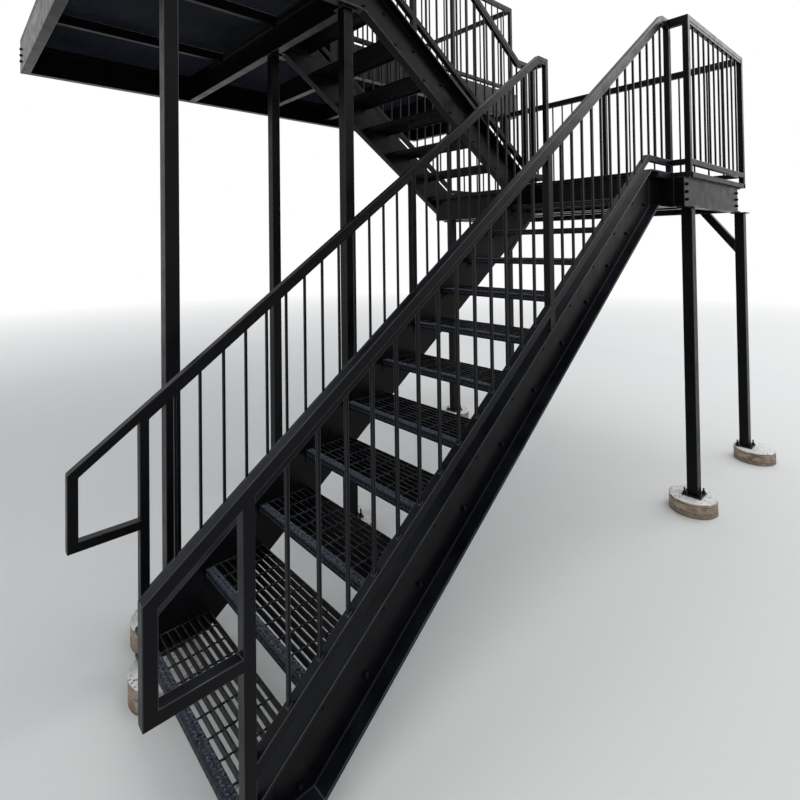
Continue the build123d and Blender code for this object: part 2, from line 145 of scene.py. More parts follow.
# Bar grating of the treads and decks
bar_thickness = 0.005
tread_bar_depth = 0.030
deck_bar_depth = 0.035
bar_pitch = 0.030
bar_chamfer = 0.0007
rod_pitch = 0.100
rod_size = 0.0065
rod_sink = 0.0005
rod_turn = math.radians(45)
rod_turn_length = 0.008

# Chequered nosings
nosing_width = 0.038
nosing_height = 0.032
nosing_thickness = 0.005
nosing_radius = 0.006
nosing_arc_steps = 4
deck_nosing_lift = 0.0004

# Raised ridges on them, with the shares of the length at full width and of the size on top
ridge_pitch = 0.0165
ridge_length = 0.0195
ridge_width = 0.0066
ridge_height = 0.0020
ridge_full_width = 0.4
ridge_top = 0.6

# Tread ends
end_plate_height = 0.065
end_plate_thickness = 0.005
tread_bolt_front = 0.024
tread_bolt_spacing = 0.178
tread_bolt_drop = 0.038

# Thickness of the channels' webs and flanges, and the width of the guards' posts
web = 0.006
flange = 0.011
tube = 0.038

# Gap between a deck and what rises through it
deck_gap = 0.002

# Where the landing's deck widens, and where it starts under the upper flight, from its stair channel
landing_jog = 0.040
upper_foot_reach = 0.080

# The gallery guard's middle posts, from its first
gallery_posts = (1.071, 2.123)

# Fasteners, by width across flats, and how far their bolts stand past them
tread_nut = 0.017
tread_bolt_end = 0.004
frame_nut = 0.019
frame_bolt_end = 0.003
anchor_nut = 0.019
anchor_stud = 0.024
anchor_stud_spread = 0.006
ledger_nut = 0.024
ledger_stud = 0.012
ledger_stud_radius = 0.0082

# A nut with its washer and bolt, as shares of its width across flats
washer_radius = 0.6
washer_height = 0.12
nut_foot = 0.05
nut_height = 0.62
nut_crown = 0.07
bolt_radius = 0.27
bolt_end = 0.05
bolt_point = 0.06

# Their eased ends, as shares of the full radius
nut_foot_ease = 0.9
nut_crown_ease = 0.86
bolt_point_ease = 0.8

# Sides of a fastener's forms, and the turn after which a nut looks the same
nut_sides = 6
washer_sides = 20
bolt_sides = 14
stud_sides = 16
nut_turn = 2 * math.pi / nut_sides

# Where the frame is bolted, from each end and from the middle of a channel's web
end_bolt_inset = 0.040
end_bolt_step = 0.052

# Anchors, from a base plate's edges, and the width under which a plate is a stringer's foot plate
anchor_inset = 0.015
foot_plate_limit = 0.1

# The wall ledger's holes, from its ends and its underside
ledger_bolt_margins = (0.300, 0.390)
ledger_bolt_rows = (0.070, 0.184)
ledger_bolt_count = 6

# Form tubes of the round piers
pier_sides = 96
tube_rows = 22
tube_inset = 0.0018
tube_wobble = 0.0016
seam_pitch = 0.047
seam_width = 0.0055
seam_depth = 0.0018
seam_shift = 0.37
rim_wear = 0.0015
rim_tear = 0.016
tear_start = 0.1

# Concrete tops of the piers, whose rings close in by a share of the radius
top_rings = 9
top_inset = 0.005
top_close = 0.985
top_roughness = 0.0035
rim_step = 0.007

# Fineness of the piers' noise, and how far it moves from one pier to the next
tear_noise = 4.5
wear_noise = 19
wobble_noise = 3.1
wobble_noise_up = 14
top_noise = 45
pier_noise_x = 7.3
pier_noise_y = 3.1

# Rounding of the steel's edges, and what counts as flat and as one point
guard_edge = 0.0024
steel_edge = 0.0022
edge_angle = math.radians(32)
flat_angle = math.radians(0.5)
weld_gap = 0.00001

# Material slots of the treads and decks, of the CAD steel and of the piers
nosing_slot = 1
ridge_slot = 2
edge_slot = 1
tube_slot = 1
seam_slot = 2

# Refraction of the black paint, low because it is chalky, and of the lighter paint on the rounded corners, which is
# partly worn thin paint and partly a painted highlight
paint_ior = 1.20
edge_ior = 1.36

# How much shinier and duller than its roughness a paint gets in places
sheen_shiny = 0.07
sheen_dull = 0.09

# Depth of the relief in paint, concrete and card
wave_depth = 0.0006
peel_depth = 0.00008
cast_depth = 0.003
pit_depth = 0.001
flake_depth = 0.002
fibre_depth = 0.0004
seam_grain_depth = 0.001

# Colours of the piers
concrete_shade = (0.50, 0.49, 0.48)
concrete_pale = (0.74, 0.735, 0.73)
concrete_grain = (0.075, 0.072, 0.070)
card_shade = (0.165, 0.118, 0.076)
card_pale = (0.370, 0.290, 0.205)
card_skin = (0.40, 0.37, 0.325)
card_foot_dark = (0.085, 0.058, 0.036)
seam_shade = (0.055, 0.045, 0.036)
seam_pale = (0.17, 0.14, 0.105)

# How far up the card grows darker towards the ground
foot_dark_height = 0.045

# Floor, and how far from the middle it starts to fade and is all white
floor_reach = 60
floor_colour = (0.585, 0.585, 0.58)
floor_fade = (5.5, 15)

# The sky's light, with its strength at the horizon and at sky_full_height, where 1 is straight up
sky_colour = (0.93, 0.965, 1.0)
sky_strength = (0.35, 1.10)
sky_full_height = 0.9

# Lamps: name, place, size, watts and colour, and the point that they face
lamps = (
    ("key", (4.0, -3.0, 10.0), 7.0, 420, (1.0, 0.98, 0.955)),
    ("side", (10.5, -6.0, 7.5), 6.0, 320, (0.97, 0.985, 1.0)),
    ("fill", (-5.0, -5.0, 6.0), 5.0, 60, (1.0, 0.99, 0.97)),
)
lamp_target = Vector((0, 0, 1.8))

# Camera of the photograph. X is from the first nosing, Y from the lower flight's middle and Z from
# the ground, and the angles are in radians.
eye_place = (-0.6216, -1.8497, 1.8129)
heading = math.radians(47.832)
pitch = 0.0151
roll = -0.01275
picture_width = 800
focal_px = 510.0
horizon_px = 236.4
sensor = 36.0


def make_camera():
    """The photograph's camera."""
    treads_low, treads_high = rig.box("lower_treads")
    x, y, z = eye_place
    eye = Vector((treads_low.x + x, (treads_low.y + treads_high.y) / 2 + y, z))
    level = Vector((math.cos(heading), math.sin(heading), 0))
    right = Vector((math.sin(heading), -math.cos(heading), 0))
    up = Vector((0, 0, 1))
    forward = level * math.cos(pitch) + up * math.sin(pitch)
    upright = -level * math.sin(pitch) + up * math.cos(pitch)
    side = right * math.cos(roll) + upright * math.sin(roll)
    top = -right * math.sin(roll) + upright * math.cos(roll)
    data = bpy.data.cameras.new("camera")
    data.sensor_width = sensor
    data.lens = focal_px / picture_width * sensor
    data.shift_y = (horizon_px - picture_width / 2) / picture_width
    data.clip_start = 0.02
    data.clip_end = 200
    camera = bpy.data.objects.new("camera", data)
    bpy.context.scene.collection.objects.link(camera)
    turn = Matrix((side, top, -forward)).transposed()
    camera.matrix_world = Matrix.Translation(eye) @ turn.to_4x4()
    bpy.context.scene.camera = camera


class Material:
    """A node material, with short names for the nodes that this script needs."""

    def __init__(self, name, roughness):
        self.data = bpy.data.materials.new(name)
        self.data.use_nodes = True
        self.nodes = self.data.node_tree.nodes
        self.links = self.data.node_tree.links
        self.shader = self.nodes["Principled BSDF"]
        self.shader.inputs["Roughness"].default_value = roughness
        self.place = self.nodes.new("ShaderNodeTexCoord").outputs["Object"]

    def noise(self, scale, detail, stretch=(1, 1, 1)):
        """Soft noise from 0 to 1."""
        mapping = self.nodes.new("ShaderNodeMapping")
        mapping.inputs["Scale"].default_value = stretch
        self.links.new(self.place, mapping.inputs["Vector"])
        texture = self.nodes.new("ShaderNodeTexNoise")
        texture.inputs["Scale"].default_value = scale
        texture.inputs["Detail"].default_value = detail
        self.links.new(mapping.outputs["Vector"], texture.inputs["Vector"])
        return texture.outputs["Fac"]

    def cells(self, scale):
        """Distance to the nearest of many scattered points."""
        texture = self.nodes.new("ShaderNodeTexVoronoi")
        texture.inputs["Scale"].default_value = scale
        self.links.new(self.place, texture.inputs["Vector"])
        return texture.outputs["Distance"]

    def facing_up(self):
        """1 on faces that look up, 0 on sides and undersides."""
        geometry = self.nodes.new("ShaderNodeNewGeometry")
        split = self.nodes.new("ShaderNodeSeparateXYZ")
        self.links.new(geometry.outputs["Normal"], split.inputs[0])
        return self.remap(split.outputs["Z"], low=0.25, high=0.9)

    def height(self, low, high):
        """0 at one height and 1 at another."""
        split = self.nodes.new("ShaderNodeSeparateXYZ")
        self.links.new(self.place, split.inputs[0])
        return self.remap(split.outputs["Z"], low, high)

    def remap(self, value, low, high, to_low=0, to_high=1):
        """A value carried from one range to another and held inside it."""
        node = self.nodes.new("ShaderNodeMapRange")
        node.inputs["From Min"].default_value = low
        node.inputs["From Max"].default_value = high
        node.inputs["To Min"].default_value = to_low
        node.inputs["To Max"].default_value = to_high
        self.links.new(value, node.inputs["Value"])
        return node.outputs["Result"]

    def times(self, first, second):
        """Two values multiplied."""
        node = self.nodes.new("ShaderNodeMath")
        node.operation = "MULTIPLY"
        self.links.new(first, node.inputs[0])
        self.links.new(second, node.inputs[1])
        return node.outputs[0]

    def blend(self, amount, first, second):
        """A colour between two, each a triple or another node's output."""
        node = self.nodes.new("ShaderNodeMix")
        node.data_type = "RGBA"
        self.links.new(amount, node.inputs["Factor"])
        # Inputs 6 and 7 and output 2 are this node's sockets for colours
        for socket, colour in ((node.inputs[6], first), (node.inputs[7], second)):
            if isinstance(colour, tuple):
                socket.default_value = (*colour, 1)
            else:
                self.links.new(colour, socket)
        return node.outputs[2]

    def colour(self, output):
        """Sets the base colour from a node's output."""
        self.links.new(output, self.shader.inputs["Base Color"])

    def roughness(self, output):
        """Sets the roughness from a node's output."""
        self.links.new(output, self.shader.inputs["Roughness"])

    def bump(self, *layers):
        """Relief from (height output, distance in metres) layers, one over the other."""
        below = None
        for output, distance in layers:
            node = self.nodes.new("ShaderNodeBump")
            node.inputs["Strength"].default_value = 1.0
            node.inputs["Distance"].default_value = distance
            self.links.new(output, node.inputs["Height"])
            if below:
                self.links.new(below, node.inputs["Normal"])
            below = node.outputs["Normal"]
        self.links.new(below, self.shader.inputs["Normal"])


def painted_steel(name, deep, pale, dust_and_sky_sheen, dust_and_sky_sheen_amount, dust_and_sky_sheen_grain, roughness, ior=paint_ior):
    """Sprayed or brushed black paint: cloudy tone, fine orange peel, and on faces that look up a lighter, bluer colour
    that is partly dust and partly a painted reflection of the sky.
    """
    paint = Material(name, roughness)
    paint.shader.inputs["IOR"].default_value = ior
    clouds = paint.noise(scale=2.3, detail=6)
    peel = paint.noise(scale=420, detail=2)
    waves = paint.noise(scale=38, detail=3)
    sheen = paint.noise(scale=11, detail=5)
    specks = paint.noise(scale=dust_and_sky_sheen_grain, detail=8)
    patches = paint.remap(specks, low=0.35, high=0.65, to_high=dust_and_sky_sheen_amount)
    # Faces that look up are painted lighter and bluer: partly dust, partly a painted reflection of the sky above.
    dust_and_sky_sheen_mask = paint.times(paint.facing_up(), patches)
    tone = paint.blend(paint.remap(clouds, low=0.3, high=0.7), deep, pale)
    paint.colour(paint.blend(dust_and_sky_sheen_mask, tone, dust_and_sky_sheen))
    shiny, dull = roughness - sheen_shiny, roughness + sheen_dull
    paint.roughness(paint.remap(sheen, low=0.3, high=0.7, to_low=shiny, to_high=dull))
    paint.bump((waves, wave_depth), (peel, peel_depth))
    return paint.data


def make_pier_top():
    """Rough cast concrete, near white, with pits and dark grains."""
    concrete = Material("pier_top", roughness=0.92)
    clouds = concrete.remap(concrete.noise(scale=14, detail=8), low=0.3, high=0.7)
    grains = concrete.remap(concrete.cells(scale=62), low=0.24, high=0.42, to_low=1, to_high=0)
    tone = concrete.blend(clouds, concrete_shade, concrete_pale)
    concrete.colour(concrete.blend(concrete.times(grains, clouds), tone, concrete_grain))
    concrete.bump((concrete.noise(scale=95, detail=8), cast_depth), (concrete.cells(scale=260), pit_depth))
    return concrete.data


def make_form_tube():
    """Weathered card of a form tube, tan with grey concrete skin in stains, and darker in patches towards the ground.
    """
    card = Material("form_tube", roughness=0.88)
    clouds = card.remap(card.noise(scale=17, detail=8, stretch=(1, 1, 2.5)), low=0.34, high=0.66)
    stains = card.remap(card.noise(scale=31, detail=6), low=0.45, high=0.7, to_high=0.60)
    foot_dark = card.height(foot_dark_height, 0)
    tone = card.blend(clouds, card_shade, card_pale)
    stained = card.blend(stains, tone, card_skin)
    card.colour(card.blend(card.times(foot_dark, clouds), stained, card_foot_dark))
    flakes = card.noise(scale=60, detail=8)
    fibres = card.noise(scale=300, detail=3, stretch=(1, 1, 0.3))
    card.bump((flakes, flake_depth), (fibres, fibre_depth))
    return card.data


def make_tube_seam():
    """The dark line where the card's turns meet: partly the joint's own colour, partly painted shade in its groove."""
    seam = Material("tube_seam", roughness=0.9)
    tone = seam.remap(seam.noise(scale=26, detail=6), low=0.3, high=0.7)
    seam.colour(seam.blend(tone, seam_shade, seam_pale))
    seam.bump((seam.noise(scale=140, detail=4), seam_grain_depth))
    return seam.data


class Shape:
    """Points and faces gathered for one piece of the scene."""

    def __init__(self):
        self.points = []
        self.faces = []
        self.slots = []

    def add(self, points, faces, slot=0):
        """Points and faces joined to the piece, each face by its points' numbers among the new ones."""
        first = len(self.points)
        self.points.extend(tuple(point) for point in points)
        self.faces.extend(tuple(first + index for index in face) for face in faces)
        self.slots.extend([slot] * len(faces))

    def loft(self, rings, slot=0):
        """A closed skin through rings of points, each anticlockwise as seen from the last ring's side."""
        count = len(rings[0])
        faces = []
        for step in range(len(rings) - 1):
            for index in range(count):
                near = step * count + index
                beside = step * count + (index + 1) % count
                faces.append((near, beside, beside + count, near + count))
        last = (len(rings) - 1) * count
        faces.append(tuple(reversed(range(count))))
        faces.append(tuple(range(last, last + count)))
        self.add([point for ring in rings for point in ring], faces, slot)

    def bar(self, axis, start, end, low, high, z0, z1):
        """A flat bar along axis x or y, with eased edges, between low and high across."""
        ease = min(bar_chamfer, (high - low) / 3, (z1 - z0) / 3)
        outline = [
            (low + ease, z0), (high - ease, z0), (high, z0 + ease), (high, z1 - ease),
            (high - ease, z1), (low + ease, z1), (low, z1 - ease), (low, z0 + ease),
        ]
        if axis == "x":
            rings = [[(place, across, z) for across, z in outline] for place in (start, end)]
        else:
            rings = [[(across, place, z) for across, z in reversed(outline)] for place in (start, end)]
        self.loft(rings)

    def rod(self, axis, start, end, across, top):
        """A twisted square rod along axis x or y, sunk into the tops of the bars, in the nosings' lighter paint as a
        painted highlight on its facets.
        """
        steps = max(2, round((end - start) / rod_turn_length))
        reach = rod_size / math.sqrt(2)
        middle = top - rod_sink - rod_size / 2
        rings = []
        for step in range(steps + 1):
            place = start + (end - start) * step / steps
            ring = []
            for corner in range(4):
                angle = math.pi / 4 + corner * math.pi / 2 + step * rod_turn
                side, lift = reach * math.cos(angle), reach * math.sin(angle)
                if axis == "x":
                    ring.append((place, across + side, middle + lift))
                else:
                    ring.append((across - side, place, middle + lift))
            rings.append(ring)
        self.loft(rings, nosing_slot)

    def turned(self, foot, out, stages, sides, turn=0):
        """A turned or hexagonal form on a surface, from (distance out, radius) stages."""
        out = Vector(out).normalized()
        first = out.orthogonal().normalized()
        second = out.cross(first)
        rings = []
        for distance, radius in stages:
            centre = Vector(foot) + out * distance
            ring = []
            for index in range(sides):
                angle = turn + 2 * math.pi * index / sides
                ring.append(centre + (first * math.cos(angle) + second * math.sin(angle)) * radius)
            rings.append(ring)
        self.loft(rings)

    def nut(self, foot, out, flats, stud, turn):
        """A washer, a hexagonal nut or head with eased corners, and the bolt's end past it."""
        corner = flats / math.sqrt(3)
        washer = washer_height * flats
        height = nut_height * flats
        crown = height + nut_crown * flats
        shank = flats * bolt_radius
        tip = crown + max(stud, bolt_end * flats)
        self.turned(foot, out, [(0, flats * washer_radius), (washer, flats * washer_radius)], washer_sides)
        stages = [
            (washer, corner * nut_foot_ease),
            (washer + nut_foot * flats, corner),
            (height, corner),
            (crown, corner * nut_crown_ease),
        ]
        self.turned(foot, out, stages, nut_sides, turn)
        stages = [(height, shank), (tip - bolt_point * flats, shank), (tip, shank * bolt_point_ease)]
        self.turned(foot, out, stages, bolt_sides)

    def piece(self, name, materials, slot, replaced=()):
        """The finished object, riding on the stair."""
        mesh = bpy.data.meshes.new(name)
        mesh.from_pydata(self.points, [], self.faces)
        mesh.polygons.foreach_set("material_index", self.slots)
        for material in materials:
            mesh.materials.append(material)
        mesh.update()
        thing = bpy.data.objects.new(name, mesh)
        bpy.context.scene.collection.objects.link(thing)
        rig.ride(thing, "root")
        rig.slot(thing, slot)
        if replaced:
            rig.replaces(thing, *replaced)
        return thing


def solids(node):
    """Lowest and highest corner of each separate solid of a CAD node, from the lowest up."""
    mesh = bmesh.new()
    mesh.from_mesh(frame["nodes"][node].data)
    bmesh.ops.remove_doubles(mesh, verts=mesh.verts, dist=weld_gap)
    left = set(mesh.verts)
    boxes = []
    while left:
        waiting = [left.pop()]
        low, high = waiting[0].co.copy(), waiting[0].co.copy()
        while waiting:
            vertex = waiting.pop()
            for axis in range(3):
                low[axis] = min(low[axis], vertex.co[axis])
                high[axis] = max(high[axis], vertex.co[axis])
            for edge in vertex.link_edges:
                other = edge.other_vert(vertex)
                if other in left:
                    left.remove(other)
                    waiting.append(other)
        boxes.append((low, high))
    mesh.free()
    return sorted(boxes, key=lambda pair: (round(pair[0].z, 4), round(pair[0].x, 4), round(pair[0].y, 4)))


def ridge(shape, centre, along, out):
    """One raised lozenge of the chequered pattern."""
    across = out.cross(along)
    flat = ridge_full_width
    rings = []
    for lift, size in ((0, 1), (ridge_height, ridge_top)):
        half_length, half_width = ridge_length / 2 * size, ridge_width / 2 * size
        ring = []
        for forward, sideways in ((1, 0), (flat, 1), (-flat, 1), (-1, 0), (-flat, -1), (flat, -1)):
            ring.append(centre + along * forward * half_length + across * sideways * half_width + out * lift)
        rings.append(ring)
    shape.loft(rings, ridge_slot)


def nosing(shape, nose_x, toward, y0, y1, top):
    """A chequered angle along Y. Its lip faces away from toward, which is 1 or -1 along X."""
    outline = [(0, -nosing_height)]
    for step in range(nosing_arc_steps + 1):
        angle = math.pi / 2 * step / nosing_arc_steps
        outline.append((nosing_radius * (1 - math.cos(angle)), nosing_radius * (math.sin(angle) - 1)))
    outline += [
        (nosing_width, 0),
        (nosing_width, -nosing_thickness),
        (nosing_thickness, -nosing_thickness),
        (nosing_thickness, -nosing_height),
    ]
    if toward == -1:
        outline.reverse()
    rings = [[(nose_x + toward * x, y, top + z) for x, z in outline] for y in (y0, y1)]
    shape.loft(rings, nosing_slot)
    count = int((y1 - y0) / ridge_pitch)
    start = (y0 + y1) / 2 - (count - 1) * ridge_pitch / 2
    slant = math.sqrt(0.5)
    up = Vector((0, 0, 1))
    outward = Vector((-toward, 0, 0))
    first_row = nosing_radius + (nosing_width - nosing_radius) / 2 - ridge_pitch / 2
    for index in range(count):
        y = start + index * ridge_pitch
        for row in range(2):
            lean = slant if (index + row) % 2 else -slant
            centre = Vector((nose_x + toward * (first_row + row * ridge_pitch), y, top))
            ridge(shape, centre, Vector((slant, lean, 0)), up)
        lean = slant if index % 2 else -slant
        centre = Vector((nose_x, y, top - nosing_radius - (nosing_height - nosing_radius) / 2))
        ridge(shape, centre, Vector((0, slant, lean)), outward)


def even_places(start, end, pitch):
    """Places that divide a gap evenly at about the wanted pitch."""
    count = max(1, round((end - start) / pitch))
    return [start + (end - start) * index / count for index in range(1, count)]


def make_treads(name, node, toward):
    """Grating treads in place of a flight's CAD treads: nosing, bars, twisted rods and end plates."""
    shape = Shape()
    for low, high in solids(node):
        top = high.z
        nose, back = (low.x, high.x) if toward == 1 else (high.x, low.x)
        y0, y1 = low.y + end_plate_thickness, high.y - end_plate_thickness
        nosing(shape, nose, toward, y0, y1, top)
        depth = high.x - low.x
        for index in range(round((depth - nosing_width) / bar_pitch)):
            edge = back - toward * index * bar_pitch
            x0, x1 = sorted((edge, edge - toward * bar_thickness))
            shape.bar("y", y0, y1, x0, x1, top - tread_bar_depth, top)
        rod_start, rod_end = sorted((nose + toward * nosing_width, back))
        for y in even_places(y0, y1, rod_pitch):
            shape.rod("x", rod_start, rod_end, y, top)
        for edge in (low.y, y1):
            shape.bar("x", low.x, high.x, edge, edge + end_plate_thickness, top - end_plate_height, top)
    shape.piece(name, (grating_paint, nosing_paint, ridge_highlight_paint), "grating_paint", (node,))


class Plan:
    """A deck's outline from above: rectangles (x0, x1, y0, y1) joined, and others cut from them."""

    def __init__(self, joined, cut=()):
        self.joined = joined
        self.cut = cut
        places = list(joined) + list(cut)
        self.xs = sorted({round(value, 5) for area in places for value in area[:2]})
        self.ys = sorted({round(value, 5) for area in places for value in area[2:]})

    def holds(self, x, y):
        """Whether the deck covers a point."""
        def inside(area):
            return area[0] < x < area[1] and area[2] < y < area[3]

        return any(inside(area) for area in self.joined) and not any(inside(area) for area in self.cut)

    def runs(self, axis, place):
        """The stretches along an axis that the deck covers at one place across it."""
        values = self.xs if axis == "x" else self.ys
        found = []
        for start, end in zip(values, values[1:]):
            middle = (start + end) / 2
            covered = self.holds(middle, place) if axis == "x" else self.holds(place, middle)
            if not covered:
                continue
            if found and found[-1][1] == start:
                found[-1] = (found[-1][0], end)
            else:
                found.append((start, end))
        return found

    def borders(self, axis):
        """Edges along an axis: (place across, start, end, which side the deck is on)."""
        across = self.ys if axis == "x" else self.xs
        probe = 0.0005
        found = []
        for place in across:
            low = self.runs(axis, place - probe)
            high = self.runs(axis, place + probe)
            found += [(place, start, end, 1) for start, end in uncovered(high, low)]
            found += [(place, start, end, -1) for start, end in uncovered(low, high)]
        return found


def uncovered(runs, others):
    """What is left of some stretches without others, apart from slivers."""
    sliver = 0.001
    left = list(runs)
    for low, high in others:
        cut = []
        for start, end in left:
            if start < low:
                cut.append((start, min(end, low)))
            if end > high:
                cut.append((max(start, high), end))
        left = [(start, end) for start, end in cut if end - start > sliver]
    return left


def make_deck(name, node, plan, stubs, noses=()):
    """Bar grating in place of a CAD deck, banded all round, with guard posts carried down through it."""
    low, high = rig.box(node)
    top = high.z
    bottom = top - deck_bar_depth
    shape = Shape()
    for axis in ("x", "y"):
        for place, start, end, side in plan.borders(axis):
            edge0, edge1 = sorted((place, place + side * bar_thickness))
            shape.bar(axis, start, end, edge0, edge1, bottom, top)
    rows = round((high.y - low.y) / bar_pitch)
    for index in range(1, rows):
        y = low.y + (high.y - low.y) * index / rows
        for start, end in plan.runs("x", y):
            shape.bar("x", start, end, y - bar_thickness / 2, y + bar_thickness / 2, bottom, top)
    for x in even_places(low.x, high.x, rod_pitch):
        for start, end in plan.runs("y", x):
            shape.rod("y", start, end, x, top)
    for x, y in stubs:
        shape.bar("x", x, x + tube, y, y + tube, bottom, top)
    for nose, toward, y0, y1 in noses:
        nosing(shape, nose, toward, y0, y1, top + deck_nosing_lift)
    shape.piece(name, (deck_paint, nosing_paint, ridge_highlight_paint), "grating_paint", (node,))


def around(node):
    """The plan of a CAD node's box with a gap all round."""
    low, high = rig.box(node)
    return (low.x - deck_gap, high.x + deck_gap, low.y - deck_gap, high.y + deck_gap)


def make_landing():
    """The landing's grating, from the lower flight's arrival round to the upper flight's foot."""
    low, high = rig.box("landing_deck")
    stair_low, stair_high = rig.box("lower_stringer_near")[0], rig.box("lower_stringer_far")[1]
    upper_low, upper_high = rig.box("upper_treads")
    guard_low, guard_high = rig.box("landing_guard_near")
    end_low, end_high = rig.box("landing_guard_end")
    return_low, return_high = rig.box("landing_guard_return")
    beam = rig.box("landing_stair_channel")[0].x
    jog = beam + landing_jog
    upper_foot = beam - upper_foot_reach
    through = (
        "lower_stringer_near", "lower_stringer_far",
        "upper_stringer_near", "upper_stringer_far",
        "tall_post",
    )
    plan = Plan(
        [
            (low.x, jog, stair_low.y, stair_high.y),
            (beam, jog, stair_high.y, high.y),
            (upper_foot, jog, upper_low.y, upper_high.y),
            (jog, high.x, low.y, high.y),
        ],
        [around(node) for node in through],
    )
    stubs = [
        (guard_low.x, guard_low.y),
        (guard_high.x - tube, guard_low.y),
        (end_low.x, (guard_low.y + tube + end_high.y) / 2),
        (return_low.x, return_high.y - tube),
        (return_low.x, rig.box("lower_guard_far")[0].y),
        (return_low.x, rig.box("lower_guard_near")[0].y),
    ]
    flight_low, flight_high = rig.box("lower_treads")
    noses = [(low.x, 1, flight_low.y, flight_high.y)]
    make_deck("landing_grating", "landing_deck", plan, stubs, noses)


def make_platform():
    """The platform's grating, notched for the upper stringers' heads."""
    low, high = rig.box("platform_deck")
    heads = [around("upper_stringer_near"), around("upper_stringer_far")]
    plan = Plan([(low.x, high.x, low.y, high.y)], heads)
    front_low, front_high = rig.box("platform_guard_front")
    side_low, side_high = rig.box("platform_guard_side")
    stubs = [
        (front_low.x, front_low.y),
        (front_high.x, front_low.y),
        (side_low.x, side_high.y - tube),
    ]
    flight_low, flight_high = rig.box("upper_treads")
    noses = [(high.x, -1, flight_low.y, flight_high.y)]
    make_deck("platform_grating", "platform_deck", plan, stubs, noses)


def make_gallery():
    """The gallery's grating, with the guard's posts standing through it."""
    low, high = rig.box("gallery_deck")
    plan = Plan([(low.x, high.x, low.y, high.y)])
    guard_low, guard_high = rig.box("gallery_guard_front")
    end_low, end_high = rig.box("gallery_guard_end")
    middle_posts = [guard_low.x + reach for reach in gallery_posts]
    stubs = [(x, guard_low.y) for x in (guard_low.x, *middle_posts, guard_high.x - tube)]
    stubs.append((end_low.x, end_high.y - tube))
    make_deck("gallery_grating", "gallery_deck", plan, stubs)


def make_tread_bolts():
    """A nut and bolt through the web at each of the treads' four holes, with the head inside."""
    shape = Shape()
    chance = random.Random(4)
    for node, toward in (("lower_treads", 1), ("upper_treads", -1)):
        for low, high in solids(node):
            nose = low.x if toward == 1 else high.x
            for reach in (tread_bolt_front, tread_bolt_front + tread_bolt_spacing):
                x = nose + toward * reach
                z = high.z - tread_bolt_drop
                for y, side in ((low.y, -1), (high.y, 1)):
                    turn = chance.uniform(0, nut_turn)
                    shape.nut((x, y + side * web, z), (0, side, 0), tread_nut, tread_bolt_end, turn)
                    shape.nut((x, y - side * end_plate_thickness, z), (0, -side, 0), tread_nut, 0, turn)
    shape.piece("tread_bolts", (black_paint,), "black_paint")


def make_frame_bolts():
    """Three bolts at each end of the outer channels, where they meet the rest of the frame."""
    shape = Shape()
    chance = random.Random(8)
    rows = (
        ("landing_near_channel", "y", -1),
        ("landing_far_channel", "y", 1),
        ("platform_front_beam", "y", 1),
        ("platform_side_beam", "x", -1),
    )
    for node, face, side in rows:
        low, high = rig.box(node)
        middle = (low.z + high.z) / 2
        for step in (-1, 0, 1):
            z = middle + step * end_bolt_step
            for end in (0, 1):
                turn = chance.uniform(0, nut_turn)
                if face == "y":
                    x = high.x - end_bolt_inset if end else low.x + end_bolt_inset
                    y = high.y if side == 1 else low.y
                    shape.nut((x, y, z), (0, side, 0), frame_nut, frame_bolt_end, turn)
                else:
                    y = high.y - end_bolt_inset if end else low.y + end_bolt_inset
                    x = high.x if side == 1 else low.x
                    shape.nut((x, y, z), (side, 0, 0), frame_nut, frame_bolt_end, turn)
    shape.piece("frame_bolts", (black_paint,), "black_paint")


def make_end_plates():
    """The plates that close the open ends of channels at the frame's corners."""
    shape = Shape()
    ends = (
        ("landing_near_channel", "low end", "web outside"),
        ("gallery_front_beam", "high end", "web outside"),
        ("landing_far_channel", "low end", "web inside"),
        ("wall_ledger", "low end", "web inside"),
        ("wall_ledger", "high end", "web inside"),
    )
    for node, end, web_place in ends:
        low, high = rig.box(node)
        x = low.x if end == "low end" else high.x - web
        y0, y1 = (low.y + web, high.y) if web_place == "web outside" else (low.y, high.y - web)
        shape.bar("y", y0, y1, x, x + web, low.z + flange, high.z - flange)
    shape.piece("channel_end_plates", (black_paint,), "black_paint")


def make_anchors():
    """Anchor studs and nuts on the base plates, and at the uphill end of the stringers' foot plates."""
    shape = Shape()
    chance = random.Random(15)
    for low, high in solids("base_plates"):
        for x in (low.x + anchor_inset, high.x - anchor_inset):
            for y in (low.y + anchor_inset, high.y - anchor_inset):
                if high.y - low.y < foot_plate_limit and x < (low.x + high.x) / 2:
                    continue
                stud = anchor_stud + chance.uniform(-anchor_stud_spread, anchor_stud_spread)
                shape.nut((x, y, high.z), (0, 0, 1), anchor_nut, stud, chance.uniform(0, nut_turn))
    shape.piece("pier_anchors", (black_paint,), "black_paint")


def make_ledger_anchors():
    """The wall anchors' studs and nuts in the ledger's two rows of holes."""
    shape = Shape()
    chance = random.Random(16)
    low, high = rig.box("wall_ledger")
    first, last = low.x + ledger_bolt_margins[0], high.x - ledger_bolt_margins[1]
    for index in range(ledger_bolt_count):
        x = first + (last - first) * index / (ledger_bolt_count - 1)
        for row in ledger_bolt_rows:
            z = low.z + row
            turn = chance.uniform(0, nut_turn)
            shape.nut((x, high.y - web, z), (0, -1, 0), ledger_nut, ledger_stud, turn)
            stages = [(0, ledger_stud_radius), (web, ledger_stud_radius)]
            shape.turned((x, high.y, z), (0, -1, 0), stages, stud_sides)
    shape.piece("ledger_anchors", (black_paint,), "black_paint")


def pier_directions():
    """The directions of a pier's points, each with its angle."""
    for index in range(pier_sides):
        angle = 2 * math.pi * index / pier_sides
        yield angle, Vector((math.cos(angle), math.sin(angle), 0))


